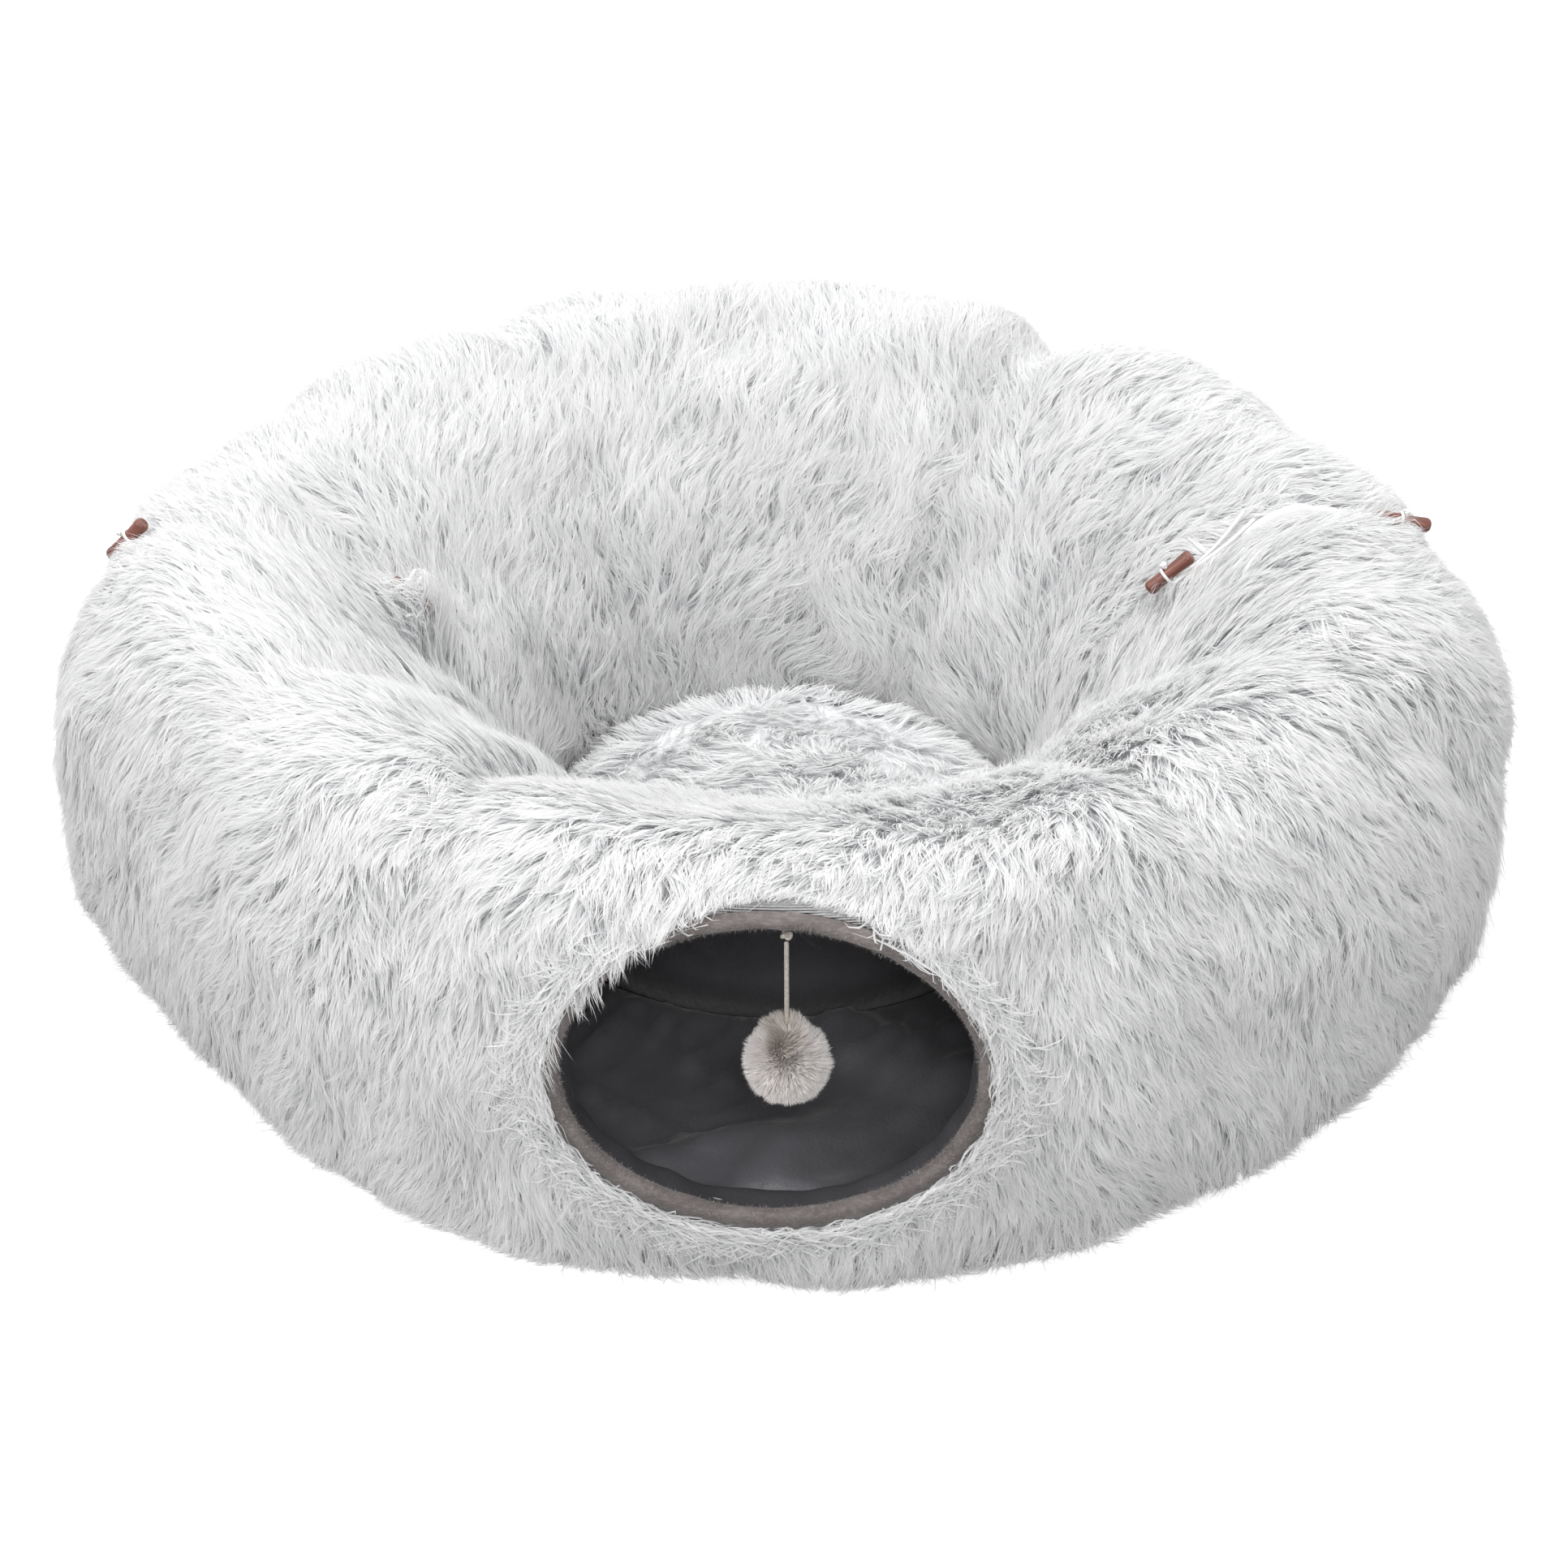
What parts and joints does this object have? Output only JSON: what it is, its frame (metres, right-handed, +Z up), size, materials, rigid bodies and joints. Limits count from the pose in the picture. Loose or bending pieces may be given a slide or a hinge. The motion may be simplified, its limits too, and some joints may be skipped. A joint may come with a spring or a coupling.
{
  "type": "donut cat tunnel",
  "caption": "Ring shaped plush tunnel for a cat, in halves closed with toggles, with an oval mouth, a hanging pom-pom toy and a loose cushion in the middle.",
  "frame": {"origin": "on the floor at the middle of the ring", "axes": "+Z up, the mouth faces -Y, +X is to the right of a viewer who faces the mouth"},
  "size_m": [0.8942, 0.815, 0.2513],
  "materials": {
    "fur": "long pile faux fur, white tips over grey roots, dull",
    "wadding": "white polyester wadding, dull",
    "lining": "charcoal woven polyester, satin",
    "base": "grey woven base fabric, dull",
    "felt": "taupe felt, dull",
    "tape": "white woven tape, satin",
    "steel": "bare spring steel wire",
    "cord": "beige braided cord, dull",
    "loop": "white braided cord, dull",
    "pompom": "cream yarn and fur, dull",
    "toggle": "red brown stain, satin"
  },
  "bodies": {
    "front_half": {"front_base_panel": "base", "front_end_binding_left": "tape", "front_end_binding_right": "tape", "front_floor_pad": "lining", "front_fur_cover": "fur", "front_hoop_left": "steel", "front_hoop_mid_left": "steel", "front_hoop_mid_right": "steel", "front_hoop_right": "steel", "front_lining": "lining", "front_wadding": "wadding", "mouth_binding": "felt", "mouth_hoop": "steel", "toggle_cord_left_inner": "loop", "toggle_cord_left_outer": "loop", "toggle_cord_right_inner": "loop", "toggle_cord_right_outer": "loop"},
    "back_half": {"back_base_panel": "base", "back_end_binding_left": "tape", "back_end_binding_right": "tape", "back_floor_pad": "lining", "back_fur_cover": "fur", "back_hoop_left": "steel", "back_hoop_mid_left": "steel", "back_hoop_mid_right": "steel", "back_hoop_right": "steel", "back_lining": "lining", "back_wadding": "wadding", "loop_left_inner": "loop", "loop_left_outer": "loop", "loop_right_inner": "loop", "loop_right_outer": "loop"},
    "cushion": {"cushion_base": "base", "cushion_cover": "fur", "cushion_filling": "wadding"},
    "toy_knot": {"pompom_knot": "cord"},
    "toy": {"pompom_cord": "cord", "pompom": "pompom"},
    "toggle_right_outer": {"toggle_right_outer": "toggle"},
    "toggle_right_inner": {"toggle_right_inner": "toggle"},
    "toggle_left_outer": {"toggle_left_outer": "toggle"},
    "toggle_left_inner": {"toggle_left_inner": "toggle"}
  },
  "joints": [
    {"name": "halves_apart", "type": "slide", "parent": "front_half", "child": "back_half", "axis": [0, 1, 0], "range_m": [0, 0.3], "deforming": ["loop_right_outer", "loop_right_inner", "loop_left_outer", "loop_left_inner"]},
    {"name": "cushion_lift", "type": "slide", "parent": "front_half", "child": "cushion", "axis": [0, 0, 1], "range_m": [0, 0.25]},
    {"name": "toy_sway", "type": "hinge", "parent": "front_half", "child": "toy_knot", "pos_m": [0.00198, -0.36818, 0.21065], "axis": [0, 1, 0], "range_deg": [-45, 45]},
    {"name": "toy_swing", "type": "hinge", "parent": "toy_knot", "child": "toy", "pos_m": [0.00198, -0.36818, 0.21065], "axis": [1, 0, 0], "range_deg": [-45, 45]},
    {"name": "toggle_right_outer_swivel", "type": "hinge", "parent": "front_half", "child": "toggle_right_outer", "pos_m": [0.37554, 0.03239, 0.21165], "axis": [0.2446, 0.2154, 0.9454], "range_deg": [-90, 90]},
    {"name": "toggle_right_inner_swivel", "type": "hinge", "parent": "front_half", "child": "toggle_right_inner", "pos_m": [0.24334, 0.01951, 0.18613], "axis": [-0.6601, 0.2563, 0.7061], "range_deg": [-90, 90]},
    {"name": "toggle_left_outer_swivel", "type": "hinge", "parent": "front_half", "child": "toggle_left_outer", "pos_m": [-0.39015, 0.0351, 0.20469], "axis": [-0.7051, 0.2387, 0.6677], "range_deg": [-90, 90]},
    {"name": "toggle_left_inner_swivel", "type": "hinge", "parent": "front_half", "child": "toggle_left_inner", "pos_m": [-0.22939, 0.01108, 0.17637], "axis": [0.6513, 0.3015, 0.6963], "range_deg": [-90, 90]}
  ]
}
